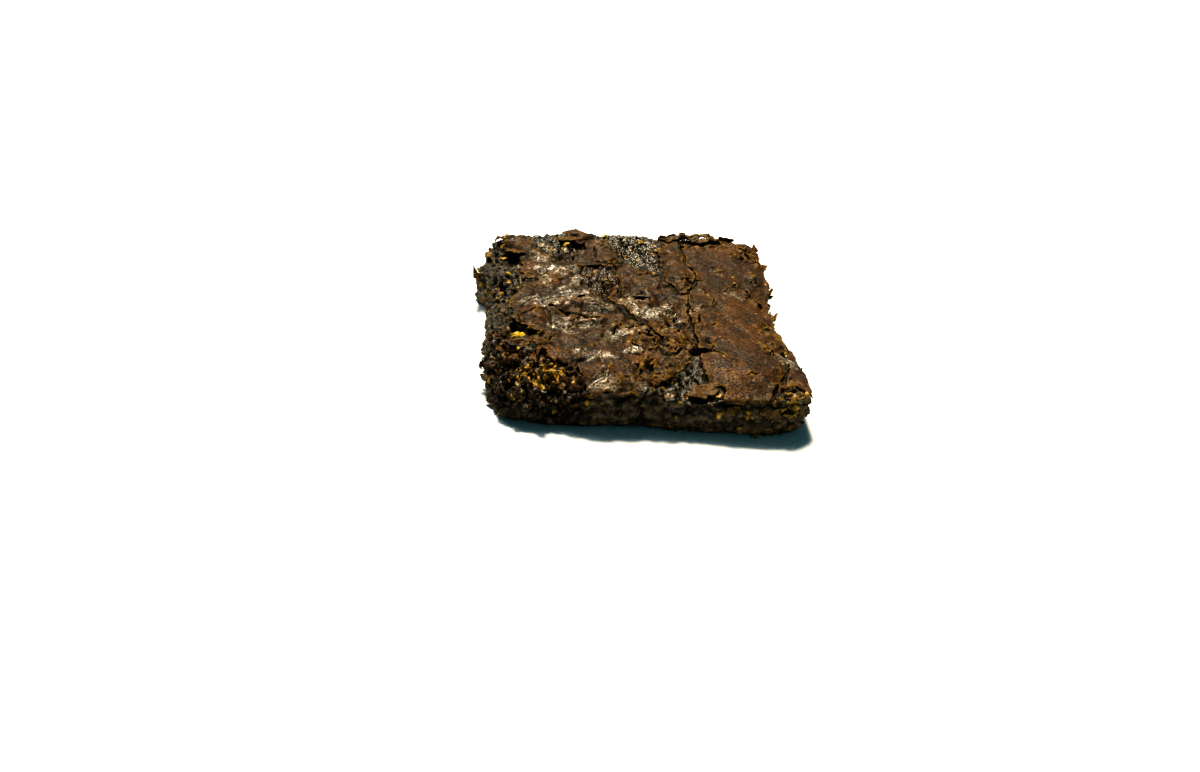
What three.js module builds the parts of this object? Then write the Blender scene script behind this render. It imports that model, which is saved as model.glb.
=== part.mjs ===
// A square of chocolate brownie cut from a tray: one dense, low slab with a thin cracked crust.
// The crust is relief on the slab. It is missing over bare patches, where the crumb shows lower down,
// split by cracks, lifted in flaps at the back edge and torn off the front left corner.
// Millimetres, +Z up, standing on its flat base, -Y towards the viewer.
import * as THREE from "three";
import { ImprovedNoise } from "three/addons/math/ImprovedNoise.js";
import { mergeVertices } from "three/addons/utils/BufferGeometryUtils.js";

const slab = {
  width: 69, // across, X
  depth: 75, // front to back, Y
  rim: 9, // height of the top edge
  crown: 1.6, // how far the middle stands above it
  crownPower: 6, // a high power keeps the top flat until near the edge
  edgeDrop: 0.6, // rounding of the top edge
  edgeStart: 0.95, // share of the way out where the rounding starts
  cornerPower: 8, // a superellipse of this power has the square's soft corners
};
const crust = {
  thickness: 0.7,
  fade: [-0.5, 0.7], // distance from a bare patch over which the crust reaches its thickness
  curl: 0.45, // lift along the torn edges
  curlReach: 1.3,
};
const crack = { depth: 1.1, halfWidth: 0.9 };

// Lumpiness: height, size of a lump, and the layer of the noise it is read from.
const grain = {
  side: { height: 0.5, size: 7, layer: 40 },
  top: { height: 0.3, size: 9, layer: 5 },
  crumb: { height: 0.45, size: 2.6, layer: 61 },
  tornCrumb: { height: 0.8, size: 2.6, layer: 61 },
  wall: { height: 0.4, size: 3.4, layer: 80 },
  tornWall: { height: 0.9, size: 3.4, layer: 80 },
  patchAcross: { height: 1.1, size: 4, layer: 11 },
  patchAlong: { height: 1.1, size: 4, layer: 23 },
};
const wallBias = 0.3; // the wall is more eaten away than swollen

const cellsAcross = 62; // grid of the top face
const crackPull = 0.45; // share of a cell from which the grid is pulled on to a crack
const crackLimit = 0.97; // share of the way out where that stops

// Where the side bulges or is eaten away: direction from the centre in degrees, distance, spread.
const sideFeatures = [
  { at: 180, out: -1.7, spread: 26 }, // worn left side
  { at: 154, out: 2.4, spread: 3.2 }, // lump at the back of the left side
  { at: 128, out: -2.3, spread: 13 }, // worn back left corner
  { at: 218, out: -1.0, spread: 8 }, // torn front left corner
  { at: 0, out: -2.3, spread: 20 }, // hollow of the right side
  { at: -42, out: 3.0, spread: 11 }, // swollen front right corner
  { at: 44, out: 0.6, spread: 6 }, // sharp back right corner
  { at: 72, out: -0.6, spread: 9 }, // back edge beside the flap
  { at: 107, out: 1.3, spread: 4 }, // back flake
];

// Broad swellings and hollows of the top face, and the pits in it.
const humps = [
  { x: -14, y: 8, r: 8, h: 0.7 },
  { x: -13, y: -4, r: 4, h: 0.7 },
  { x: -14, y: -12, r: 5, h: -1.0 },
  { x: -12, y: -24, r: 5, h: 0.6 },
  { x: 3, y: 4, r: 7, h: 0.5 },
  { x: 3, y: -14, r: 5, h: 0.4 },
  { x: 11, y: 16, r: 4, h: 0.5 },
  { x: 21, y: -26, r: 9, h: 0.8 },
  { x: 29, y: 8, r: 5, h: -1.7 },
  { x: 25, y: 5, r: 3, h: 0.7 },
  { x: -26, y: 21, r: 2.4, h: -2.0 },
  { x: -10, y: 29, r: 2.2, h: -1.8 },
  { x: -25, y: -13, r: 2.3, h: -2.4 },
  { x: 10, y: 5, r: 1.5, h: -0.9 },
  { x: 14, y: 5, r: 1.4, h: -0.9 },
  { x: 14, y: -20, r: 2.0, h: -1.4 },
  { x: -33, y: 5, r: 9, h: -1.6 },
  { x: -34, y: 22, r: 8, h: -1.3 },
  { x: -31, y: -32, r: 9, h: -3.0 },
  { x: -20, y: -37, r: 5, h: -1.6 },
  { x: 9, y: -36, r: 5, h: -1.4 },
  { x: 17, y: 34, r: 3.5, h: 0.8 },
  { x: -12, y: 36, r: 2.5, h: 1.4 },
  { x: 2, y: 36, r: 6, h: 0.9 },
  { x: 30, y: 28, r: 3.5, h: 0.5 },
];

// Patches with no crust.
const barePatches = {
  leftStrip: [
    [-42, 36], [-29, 31], [-28, 25], [-25, 23], [-25, 6],
    [-28, 2], [-28, -10], [-22.5, -17], [-29, -18], [-42, -19],
  ],
  tornCorner: [
    [-42, -19], [-31, -19], [-23.5, -21.5], [-20, -26.5],
    [-15, -29.5], [-13, -34], [-13, -46], [-42, -46],
  ],
  backLeft: [
    [-24, 32], [-20, 42], [-14.5, 42], [-12.8, 31.5], [-9, 31],
    [-9, 27.5], [-12.5, 23], [-18, 19.5], [-21, 24],
  ],
  back: [
    [-8, 46], [-8, 34], [-2, 26.5], [-2, 21], [3.5, 14.5],
    [6.5, 12.5], [8, 15], [8.3, 25], [10.5, 31], [9.5, 46],
  ],
  scar: [
    [-12, 16.5], [-3, 17.5], [-2.5, 10], [-4.5, 4],
    [-6.5, 0], [-8.5, 2.5], [-11.5, 6],
  ],
  front: [
    [9.5, -21], [12.5, -20.5], [13, -26], [16, -35],
    [14, -46], [2, -46], [2, -35], [6, -31.5], [10, -27.5],
  ],
};

const cracks = {
  fold: [[-22.5, -5], [-19.5, -4], [-17, -6], [-12, -7], [-8, -8.3]],
  middle: [[-6.5, 0], [-3.5, -3], [-1.5, -7], [0.5, -10], [2, -9]],
  short: [[-3, 6], [-3, 2], [-2, 0]],
  longBack: [[14, 29], [14.5, 23], [14.3, 19], [16, 15], [15.8, 10.5], [13, 5]],
  longBackLeft: [[8, 15], [8, 10], [11, 5]],
  seam: [[12.5, -2], [12, -6], [12.3, -11], [12.3, -20]],
  wedge: [[15.3, -15], [15.4, -18], [18, -22.5]],
  bite: [[10, -20], [6.5, -24.5], [5, -22], [3, -19]],
  frontPlate: [[2, -33.5], [0.5, -29], [2, -26]],
  frontRight: [[31.5, -27], [30, -31], [27.5, -35], [24, -36.3]],
  rightSmall: [[22, 7], [25.5, 11.5]],
  backFlap: [[10, 34], [11, 31.5], [16, 32.5], [19, 30], [24, 32]],
  backRight: [[28, 32], [30.5, 27], [33, 22.5]],
};

// Levels of the wall from the base to the crust's rim: height as a share, outward offset.
const wallLevels = [
  { up: 0, out: -1.9 },
  { up: 0.12, out: -0.6 },
  { up: 0.34, out: 0 },
  { up: 0.58, out: 0.3 },
  { up: 0.78, out: 0 },
  { up: 0.91, out: -0.5 },
  { up: 1, out: 0.2 },
];

const noise = new ImprovedNoise();
const { smoothstep, clamp, degToRad } = THREE.MathUtils;

// Noise of two octaves for one kind of grain, z being the height on a wall and 0 on the top.
function lumps({ height, size, layer }, x, y, z = 0) {
  const level = z + layer;
  const coarse = noise.noise(x / size, y / size, level / size);
  const fine = noise.noise((2.1 * x) / size + 7, (2.1 * y) / size, (2.1 * level) / size);
  return height * (1.4 * coarse + 0.7 * fine);
}

function bell(x) {
  return Math.exp(-x * x);
}

function angleBetween(a, b) {
  return Math.abs(Math.atan2(Math.sin(a - b), Math.cos(a - b)));
}

// Distance from the middle to the side in the direction a.
function reach(a) {
  const { width, depth, cornerPower } = slab;
  const across = Math.abs(Math.cos(a)) / (width / 2);
  const along = Math.abs(Math.sin(a)) / (depth / 2);
  let r = (across ** cornerPower + along ** cornerPower) ** (-1 / cornerPower);
  for (const { at, out, spread } of sideFeatures) {
    r += out * bell(angleBetween(a, degToRad(at)) / degToRad(spread));
  }
  return r + lumps(grain.side, r * Math.cos(a), r * Math.sin(a));
}

function nearestOnSegment(x, y, a, b) {
  const dx = b[0] - a[0];
  const dy = b[1] - a[1];
  const t = clamp(((x - a[0]) * dx + (y - a[1]) * dy) / (dx * dx + dy * dy), 0, 1);
  return [a[0] + t * dx, a[1] + t * dy];
}

// Positive inside the outline, the distance in from its edge.
function depthInside(x, y, outline) {
  let inside = false;
  let least = Infinity;
  outline.forEach((b, i) => {
    const a = outline.at(i - 1);
    const [nx, ny] = nearestOnSegment(x, y, a, b);
    least = Math.min(least, Math.hypot(x - nx, y - ny));
    const crosses = a[1] > y !== b[1] > y;
    if (crosses && x < a[0] + ((y - a[1]) / (b[1] - a[1])) * (b[0] - a[0])) inside = !inside;
  });
  return inside ? least : -least;
}

// How far a point lies inside a bare patch, the patches' edges being ragged.
function bareness(x, y) {
  const wx = x + lumps(grain.patchAcross, x, y);
  const wy = y + lumps(grain.patchAlong, x, y);
  return Math.max(...Object.values(barePatches).map((p) => depthInside(wx, wy, p)));
}

// Left side and front left corner, where the crumb is broken open.
function torn(x, y) {
  return x < -27 || (x < -12 && y < -26);
}

function nearestCrack(x, y) {
  let best = { distance: Infinity };
  for (const line of Object.values(cracks)) {
    for (let i = 1; i < line.length; i++) {
      const [nx, ny] = nearestOnSegment(x, y, line[i - 1], line[i]);
      const distance = Math.hypot(x - nx, y - ny);
      if (distance < best.distance) best = { distance, x: nx, y: ny };
    }
  }
  return best;
}

// Height of the top face. ring is 0 in the middle and 1 at the side.
function topHeight(x, y, ring) {
  let z = slab.rim + slab.crown * (1 - ring ** slab.crownPower) + lumps(grain.top, x, y);
  z -= slab.edgeDrop * smoothstep(ring, slab.edgeStart, 1);
  for (const hump of humps) z += hump.h * bell(Math.hypot(x - hump.x, y - hump.y) / hump.r);

  const bare = bareness(x, y);
  const covered = smoothstep(-bare, ...crust.fade);
  z += covered * (crust.thickness + crust.curl * Math.exp(-Math.abs(bare) / crust.curlReach));
  z += (1 - covered) * lumps(torn(x, y) ? grain.tornCrumb : grain.crumb, x, y);
  const split = 1 - smoothstep(nearestCrack(x, y).distance, 0, crack.halfWidth);
  return z - crack.depth * split * covered;
}

function polar(r, a) {
  return [r * Math.cos(a), r * Math.sin(a)];
}

function topPoint(r, a, ring) {
  let [x, y] = polar(r, a);
  const near = nearestCrack(x, y);
  const cell = slab.width / cellsAcross;
  if (ring < crackLimit && near.distance < crackPull * cell) [x, y] = [near.x, near.y];
  return [x, y, topHeight(x, y, ring)];
}

function wallPoint(r, a, { up, out }) {
  const [x, y] = polar(r, a);
  const z = up * topHeight(x, y, 1);
  const rough = torn(x, y) ? grain.tornWall : grain.wall;
  const bumps = up > 0 ? lumps(rough, x, y, z) - wallBias * rough.height : 0;
  return [...polar(r + out + bumps, a), z];
}

// A box 2 across becomes the slab: its top grid, its sides in rings, and one flat base.
function slabGeometry() {
  const rings = wallLevels.length - 1;
  const box = openBox(new THREE.BoxGeometry(2, 2, rings, cellsAcross, cellsAcross, rings));
  const { position } = box.attributes;
  const base = [];
  for (let i = 0; i < position.count; i++) {
    const u = position.getX(i);
    const v = position.getY(i);
    const level = Math.round(position.getZ(i) + rings / 2);
    const ring = Math.max(Math.abs(u), Math.abs(v));
    const a = Math.atan2(v, u);
    const r = ring * reach(a);
    const point = ring < 1 ? topPoint(r, a, ring) : wallPoint(r, a, wallLevels[level]);
    position.setXYZ(i, ...point);
    if (level === 0) base.push({ i, a });
  }
  base.sort((p, q) => p.a - q.a);
  closeBase(box, base.map((p) => p.i));
  return box;
}

// Leaves only the positions, merged, and takes off the base, which is the box's last face group.
function openBox(box) {
  const base = box.groups.at(-1);
  box.setIndex([...box.index.array].slice(0, base.start));
  box.deleteAttribute("normal");
  box.deleteAttribute("uv");
  return mergeVertices(box);
}

// One flat face over the ring of vertices at the bottom, facing down.
function closeBase(geometry, ring) {
  const { position } = geometry.attributes;
  const outline = ring.map((i) => new THREE.Vector2(position.getX(i), position.getY(i)));
  const { isClockWise, triangulateShape } = THREE.ShapeUtils;
  const faces = triangulateShape(outline, []).flatMap((face) => {
    const down = isClockWise(face.map((k) => outline[k])) ? face : face.toReversed();
    return down.map((k) => ring[k]);
  });
  geometry.clearGroups();
  geometry.setIndex([...geometry.index.array, ...faces]);
}

// Puts the middle of the box round the slab above the origin.
function centred(geometry) {
  geometry.computeBoundingBox();
  const middle = geometry.boundingBox.getCenter(new THREE.Vector3());
  geometry.translate(-middle.x, -middle.y, 0);
  geometry.computeVertexNormals();
  return geometry;
}

const crustBrown = new THREE.MeshStandardMaterial({
  color: 0x4a2f1c,
  roughness: 0.55,
  metalness: 0,
});

const brownie = new THREE.Mesh(centred(slabGeometry()), crustBrown);
brownie.name = "brownie";

const part = new THREE.Group();
part.add(brownie);

export default part;
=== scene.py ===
import itertools
import math
import random

import bmesh
import bpy
import numpy as np
from mathutils import Euler, Matrix, Vector
from mathutils.bvhtree import BVHTree


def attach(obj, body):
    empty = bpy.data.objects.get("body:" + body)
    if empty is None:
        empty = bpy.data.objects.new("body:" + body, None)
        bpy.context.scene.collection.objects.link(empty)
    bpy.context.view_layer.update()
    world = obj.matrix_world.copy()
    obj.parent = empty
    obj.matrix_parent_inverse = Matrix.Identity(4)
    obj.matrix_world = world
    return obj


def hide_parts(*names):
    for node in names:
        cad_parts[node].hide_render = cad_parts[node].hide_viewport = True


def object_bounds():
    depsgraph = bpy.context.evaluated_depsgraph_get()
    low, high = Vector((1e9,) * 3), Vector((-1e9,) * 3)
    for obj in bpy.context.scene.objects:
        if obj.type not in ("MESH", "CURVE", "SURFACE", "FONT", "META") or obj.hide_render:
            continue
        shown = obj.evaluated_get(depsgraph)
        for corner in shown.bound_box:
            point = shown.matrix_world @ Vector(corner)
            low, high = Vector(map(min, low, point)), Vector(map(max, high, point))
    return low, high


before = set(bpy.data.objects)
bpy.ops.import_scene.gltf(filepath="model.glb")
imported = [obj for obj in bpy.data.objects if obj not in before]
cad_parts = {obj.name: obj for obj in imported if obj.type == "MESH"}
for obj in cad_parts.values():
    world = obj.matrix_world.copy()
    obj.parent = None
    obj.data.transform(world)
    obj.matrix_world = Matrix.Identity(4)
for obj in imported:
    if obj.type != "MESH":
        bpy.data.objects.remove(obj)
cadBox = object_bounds()
print("frame loaded")

toMetres = 0.001
down = Vector((0, 0, -1))
# Heights and distances, in mm, that are above and outside everything
above = 30
beyond = 80

# Places on the brownie's top, in mm from the middle of its base, x to the right and y to the back.
# Patches where the crust is gone and the crumb shows.
barePatches = {
    "leftStrip": [(-42, 36), (-29, 31), (-28, 25), (-25, 23), (-25, 6), (-28, 2), (-28, -10),
                  (-22, -14.5), (-24.5, -18.5), (-42, -19)],
    "tornCorner": [(-42, -19), (-31, -19), (-23.5, -21.5), (-20, -26.5), (-15, -29.5),
                   (-13, -34), (-13, -46), (-42, -46)],
    "backLeft": [(-24, 32), (-20, 42), (-14.5, 42), (-12.8, 31.5), (-9, 31), (-9, 27.5),
                 (-12.5, 23), (-18, 19.5), (-21, 24)],
    "back": [(-8, 46), (-8, 34), (-2, 26.5), (-2, 21), (3.5, 14.5), (6.5, 12.5), (8, 15),
             (8.3, 25), (10.5, 31), (9.5, 46)],
    "scar": [(-12, 16.5), (-3, 17.5), (-2.5, 10), (-4.5, 4), (-6.5, 0), (-8.5, 2.5), (-11.5, 6)],
    "front": [(10, -21.5), (13.4, -21.5), (12.8, -27), (13.5, -32), (17, -36), (17, -46), (-3, -46),
              (-3, -38), (3, -34), (7, -30), (10, -26)],
    "frontCorner": [(27, -46), (27.6, -37), (29.4, -34.6), (32, -33.2), (34.6, -34.2), (42, -37), (42, -46)],
}

# Cracks in the crust: half the width of the gap, and the line.
crustCracks = {
    "fold": (0.4, [(-26.5, -8.5), (-22.5, -5), (-19.5, -4), (-17, -6), (-12, -7), (-8, -8.3)]),
    "scarLip": (0.7, [(-11.5, 6.2), (-9.5, 3.6), (-7.6, 0.6)]),
    "middleFront": (0.35, [(2, -10), (2.3, -14), (4, -17), (5.5, -20)]),
    "redPlate": (0.3, [(-2.2, -17.5), (-1.6, -20), (0, -21.3), (3, -22)]),
    "middle": (0.9, [(-6.5, 0), (-3.5, -3), (-1.5, -7), (0.5, -10), (2, -9)]),
    "short": (0.8, [(-3, 6), (-3, 2), (-2, 0)]),
    "longBack": (0.6, [(13, 32), (14, 29), (14.5, 23), (14.3, 19), (16, 15), (15.8, 10.5), (13, 5)]),
    "longBackLeft": (0.8, [(8, 15), (8, 10), (11, 5), (13, 5)]),
    "neck": (0.35, [(13, 5), (12.5, -2)]),
    "seam": (0.6, [(12.5, -2), (12, -6), (12.3, -11), (12.3, -20)]),
    "seamPlate": (0.28, [(13, -2.8), (14.6, -4), (14.4, -8), (12.6, -10.5)]),
    "wedge": (1.3, [(10.2, -21.4), (13.6, -20.6), (15.4, -22)]),
    "wedgeTip": (0.7, [(15.4, -22), (17.6, -23.6)]),
    "wedgeLine": (0.35, [(15.2, -15.6), (15.9, -18.5), (15.3, -21)]),
    "bite": (0.55, [(9.5, -20.8), (7.5, -23.2), (5.6, -23.6), (4.4, -21), (3, -19)]),
    "frontPlate": (0.3, [(2, -33.5), (0.5, -29), (2, -26)]),
    "frontRight": (0.6, [(32, -24), (31.5, -27), (30.3, -31), (28, -35), (26.5, -38)]),
    "rightSmall": (0.35, [(22, 7), (25.5, 11.5)]),
    "rightRim": (0.8, [(27.6, 10), (29, 6.5), (30.2, 2.2)]),
    "backFlap": (1.0, [(10, 34), (11, 31.5), (16, 32.5), (19, 30), (24, 32)]),
    "backRight": (0.5, [(28, 32), (30.5, 27), (33, 22.5)]),
    "hair": (0.25, [(-19.5, -6), (-19.2, -13)]),
}

# Places where the crust is broken into small flakes: x, y, radius.
shatterZones = [
    (5, -17, 6.5), (9, -8, 4), (19, 34, 5), (30, 27, 4.5), (2, -30, 4.5), (-22, -19, 3), (30, -19, 3.5),
    (-3, -13, 3.5), (30, -33, 3.5), (-6, -33, 3),
]

# Places where thin layers of the crust have flaked off: x, y, radius.
flakyZones = [
    (5, -16, 9), (2, -30, 6), (-6, -31, 6), (9, -7, 5), (19, 33, 6), (29, 28, 6), (-3, 9, 5), (-22, -19, 4),
    (29, -30, 6), (30, -17, 4), (-17, 22, 4), (11, 10, 4),
]

# The line of cracks between the two pieces of crust, from the back to the front
splitLine = [
    (9.8, 46), (10, 34), (11.5, 31.9), (13.2, 31.5), (14, 29), (14.5, 23), (14.3, 19), (16, 15),
    (15.8, 10.5), (13, 5), (12.5, -2), (12, -6), (12.3, -11), (12.3, -20), (12.8, -26), (12, -46),
]

# Places where the crust is smooth and papery and shines, and where a pale painted sheen is mixed into its
# colour: x, y, radius.
shineAndPaintedSheenZones = [
    (-19.5, -3, 2.6), (-15.5, 2.8, 2.4), (-13, 0.6, 2.6), (-8.4, -3, 2.6), (-2.6, -1.8, 1.8),
    (-1.9, -13.7, 2), (24.6, 5.9, 2.2), (13.4, -3.6, 1.5), (-14.8, -24.2, 1.6), (-9.6, -24.6, 1.6),
    (-16.8, -31, 2), (-9.6, -34, 2.4), (-0.4, -36, 1.8), (-21.7, 20, 2.4), (-17.4, -11.4, 2.2),
    (-11, -9.8, 2.2), (-5.4, -15.7, 2), (-13, 13, 2.2), (-18, 13, 2.4), (2, 2, 2), (4, -6, 2),
    (32, -22.8, 1.6), (-12, 8, 2), (-20, 8, 2.2), (-1, -21, 1.4), (7, -12, 1.6), (-24, -1, 1.6),
    (4.6, -37.2, 1.2), (6.5, -4.6, 2), (9.6, -7.8, 1.5), (-11.5, -25.6, 1.6), (-15.4, -15, 1.8),
    (0.5, -5, 1.5),
]

# Places where the crust is darker: x, y, radius.
darkZones = [
    (28.5, 16, 6), (21, 11, 5), (34.5, -28, 5), (34.5, -23, 3), (16.5, -19, 3), (-10, -19, 4), (19, 23, 4),
    (26, 23, 4), (11, 22, 3), (-6, 12, 3), (5, -19, 3),
]

# Plates of crust that have come away and stand higher along the cracks: outline, rise.
liftedPlates = {
    "backFlap": ([(9, 34), (11, 31.5), (16, 32.5), (19, 30), (25, 31), (27, 42), (9, 42)], 1.1),
    "backTongue": ([(8, 15), (9, 31), (14, 29), (15, 19), (16, 14), (13, 5), (9, 9)], 0.7),
    "centre": ([(-3, 6), (-2, 0), (1, -9), (12, -3), (13, 5), (8, 13), (2, 14)], 0.5),
    "fold": ([(-25, -4), (-17, -4.5), (-8, -7), (-6, -1), (-12, 4), (-24, 4)], 0.6),
    "frontPlate": ([(-12, -38), (-12, -28), (0, -27), (2, -33), (0, -38)], 0.4),
    "rightFront": ([(15, -15), (24, -12), (31, -24), (28, -36), (16, -36), (13, -26)], 0.5),
}

# Holes in the crumb: x, y, radius, depth.
pits = [
    (-27.6, 22.6, 1.5, 2.0), (-25.8, 20.2, 1.6, 2.6), (-10, 29.5, 2.2, 2.2), (-26.6, -12.4, 1.4, 2.4),
    (-23.8, -14.8, 1.6, 2.6), (13.8, -20.9, 1.6, 2.2), (11, -21.8, 1.2, 1.7), (-6, 3, 2.0, 1.2),
    (17, 32, 2.5, 1.2),
]

# Places in the torn corner where the nut shows: x, y, radius.
nuttyZones = [(-22, -30.5, 3.6), (-26.5, -28, 2.4), (-18.5, -31.5, 2), (-28, -22.5, 1.6)]

# Where the torn left side ends, and the torn front left corner.
tornCorner = {"across": -27, "cornerAcross": -12, "cornerAlong": -26}


# Repeatable noise on numpy arrays, for places on the plane or in space, from a hash of each cell
hashSteps = (374761393, 668265263, 1440662683)
hashPrimes = (97531, 1274126177, 2246822519)


def scatteredNumbers(cell, seed):
    # three random numbers from 0 to 1 for each cell
    whole = cell.astype(np.int64)
    mixed = seed * hashPrimes[0] + sum(column * step for column, step in zip(whole.T, hashSteps))
    mixed = (mixed ^ (mixed >> 13)) * hashPrimes[1] & 0xFFFFFFFF
    numbers = []
    for step in (1, 2, 3):
        mixed = (mixed ^ (mixed >> 15)) * (hashPrimes[2] + 2 * step) & 0xFFFFFFFF
        numbers.append((mixed >> 8 & 0xFFFF) / 65535)
    return np.stack(numbers, axis=1)


def waves(points, size, seed, octaves=1):
    # smooth noise, about -1 to 1; size is a wave's length in mm, and each octave is half as long and high
    place = points / size + 0.371 * seed
    dims = place.shape[1]
    cell = np.floor(place)
    inside = place - cell
    fade = inside ** 3 * (inside * (inside * 6 - 15) + 10)
    total = np.zeros(len(place))
    for corner in itertools.product((0, 1), repeat=dims):
        weight = np.prod(np.where(corner, fade, 1 - fade), axis=1)
        slope = 2 * scatteredNumbers(cell + corner, seed)[:, :dims] - 1
        total += weight * np.sum(slope * (inside - corner), axis=1)
    total *= 1.5
    return total if octaves == 1 else total + 0.5 * waves(points, size / 2, seed + 1, octaves - 1)


def cells(points, size, seed):
    # distances to the nearest and second nearest of one point a cell, the way from the nearest to here,
    # and the nearest one's own three random numbers
    place = points / size
    dims = place.shape[1]
    home = np.floor(place)
    first = np.full(len(place), 9.0)
    second = first.copy()
    owner = np.zeros((len(place), 3))
    away = np.zeros((len(place), dims))
    for step in itertools.product((-1, 0, 1), repeat=dims):
        other = home + step
        numbers = scatteredNumbers(other, seed)
        offset = place - other - numbers[:, :dims]
        distance = np.linalg.norm(offset, axis=1)
        nearer = distance < first
        second = np.where(nearer, first, np.minimum(second, distance))
        owner = np.where(nearer[:, None], numbers, owner)
        away = np.where(nearer[:, None], offset, away)
        first = np.where(nearer, distance, first)
    return first * size, second * size, away * size, owner


def facets(points, size, seed):
    # crumpled paper: flat facets of about that size, each tilted its own way, creased where they meet
    near, second, away, owner = cells(points, size, seed)
    slope = np.sum((owner[:, :2] - 0.5) * away[:, :2], axis=1)
    return slope * ramp(second - near, 0, 0.25 * size), (second - near) / 2


def ramp(values, low, high):
    # 0 at low and 1 at high, with a soft start and end
    share = np.clip((values - low) / (high - low), 0, 1)
    return share * share * (3 - 2 * share)


def nearZones(points, zones):
    # 1 in the middle of a zone, falling to 0 at its radius and a half
    best = np.zeros(len(points))
    for x, y, radius in zones:
        distance = np.hypot(points[:, 0] - x, points[:, 1] - y)
        best = np.maximum(best, 1 - ramp(distance, 0.5 * radius, 1.5 * radius))
    return best


# Distances to outlines and cracks
def distanceToSegment(points, start, end):
    run = np.subtract(end, start)
    share = np.clip((points - start) @ run / (run @ run), 0, 1)
    return np.linalg.norm(points - start - share[:, None] * run, axis=1)


def depthInside(points, outline):
    # mm inside an outline, below 0 outside it
    nearest = np.full(len(points), 99.0)
    inside = np.zeros(len(points), bool)
    for start, end in zip(outline, outline[1:] + outline[:1]):
        nearest = np.minimum(nearest, distanceToSegment(points, start, end))
        crosses = (start[1] > points[:, 1]) != (end[1] > points[:, 1])
        if start[1] != end[1]:
            crossing = start[0] + (points[:, 1] - start[1]) * (end[0] - start[0]) / (end[1] - start[1])
            inside ^= crosses & (points[:, 0] < crossing)
    return np.where(inside, nearest, -nearest)


def ragged(points, coarse, fine):
    # points moved about, so that lines drawn through them are torn lines
    moved = points + coarse * np.column_stack((waves(points, 4, 11, 2), waves(points, 4, 23, 2)))
    return moved + fine * np.column_stack((waves(points, 1.1, 31, 2), waves(points, 1.1, 43, 2)))


def bareDepth(points):
    # mm inside the nearest bare patch, below 0 outside them all
    torn = ragged(points, 1.0, 0.5)
    return np.max([depthInside(torn, outline) for outline in barePatches.values()], axis=0)


def insidePatch(points, name):
    # 1 inside one bare patch, 0 outside it
    return ramp(depthInside(ragged(points, 1.0, 0.5), barePatches[name]), -0.4, 0.4)


def crackDistance(points):
    # mm beyond the edge of the nearest crack
    torn = ragged(points, 0.5, 0.3)
    width = 0.8 + 0.4 * waves(points, 2.5, 77)
    nearest = np.full(len(points), 99.0)
    for gap, line in crustCracks.values():
        for start, end in zip(line, line[1:]):
            nearest = np.minimum(nearest, distanceToSegment(torn, start, end) - gap * width)
    return nearest


def tornShare(points):
    # 1 along the left side and in the front left corner, where no crust is left
    left = ramp(-points[:, 0], -tornCorner["across"] - 1, -tornCorner["across"] + 1)
    corner = ramp(-points[:, 0], -tornCorner["cornerAcross"] - 1, -tornCorner["cornerAcross"] + 2)
    corner *= ramp(-points[:, 1], -tornCorner["cornerAlong"] - 1, -tornCorner["cornerAlong"] + 2)
    return np.maximum(left, corner)


# Meshes and numpy
def pointsOf(mesh):
    flat = np.empty(len(mesh.vertices) * 3, np.float32)
    mesh.vertices.foreach_get("co", flat)
    return flat.reshape(-1, 3).astype(float) / toMetres


def normalsOf(mesh):
    flat = np.empty(len(mesh.vertices) * 3, np.float32)
    mesh.vertex_normals.foreach_get("vector", flat)
    return flat.reshape(-1, 3).astype(float)


def setPoints(mesh, points):
    # places in mm, kept inside the box of the CAD part
    low = np.array(cadBox[0]) / toMetres
    high = np.array(cadBox[1]) / toMetres
    kept = np.clip(points, low, high)
    mesh.vertices.foreach_set("co", (kept * toMetres).astype(np.float32).ravel())
    mesh.update()


def addAttributes(mesh, numbers):
    for name, values in numbers.items():
        mesh.attributes.new(name, "FLOAT", "POINT").data.foreach_set("value", values.astype(np.float32))


def addToScene(thing):
    bpy.context.scene.collection.objects.link(thing)
    return thing


def newPiece(name, shape, material):
    mesh = bpy.data.meshes.new(name)
    shape.to_mesh(mesh)
    shape.free()
    mesh.materials.append(material)
    return addToScene(bpy.data.objects.new(name, mesh))


def applyModifiers(piece):
    bpy.context.view_layer.update()
    final = bpy.data.meshes.new_from_object(piece.evaluated_get(bpy.context.evaluated_depsgraph_get()))
    old = piece.data
    piece.modifiers.clear()
    piece.data = final
    bpy.data.meshes.remove(old)
    final.name = piece.name


def treeOf(mesh):
    # the mesh in mm, for rays and nearest places
    corners = [v.co / toMetres for v in mesh.vertices]
    return BVHTree.FromPolygons(corners, [tuple(p.vertices) for p in mesh.polygons])


def smoothShade(piece):
    piece.data.polygons.foreach_set("use_smooth", [True] * len(piece.data.polygons))


def thicken(piece, thickness):
    # a sheet gets its thickness, in mm, below the surface it was made with
    thick = piece.modifiers.new("thick", "SOLIDIFY")
    thick.thickness = thickness * toMetres
    thick.offset = -1
    applyModifiers(piece)
    setPoints(piece.data, pointsOf(piece.data))
    smoothShade(piece)


def ridesOnRoot(piece, standsForBrownie=False):
    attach(piece, "root")
    if standsForBrownie:
        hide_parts("brownie")


# Materials
def linear(code):
    parts = [int(code[i:i + 2], 16) / 255 for i in (1, 3, 5)]
    return [c / 12.92 if c <= 0.04045 else ((c + 0.055) / 1.055) ** 2.4 for c in parts] + [1.0]


def addNode(tree, kind, values=None, links=None, **settings):
    node = tree.nodes.new(kind)
    for name, value in settings.items():
        setattr(node, name, value)
    for socket, value in (values or {}).items():
        node.inputs[socket].default_value = value
    for socket, source in (links or {}).items():
        tree.links.new(source, node.inputs[socket])
    return node


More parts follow.
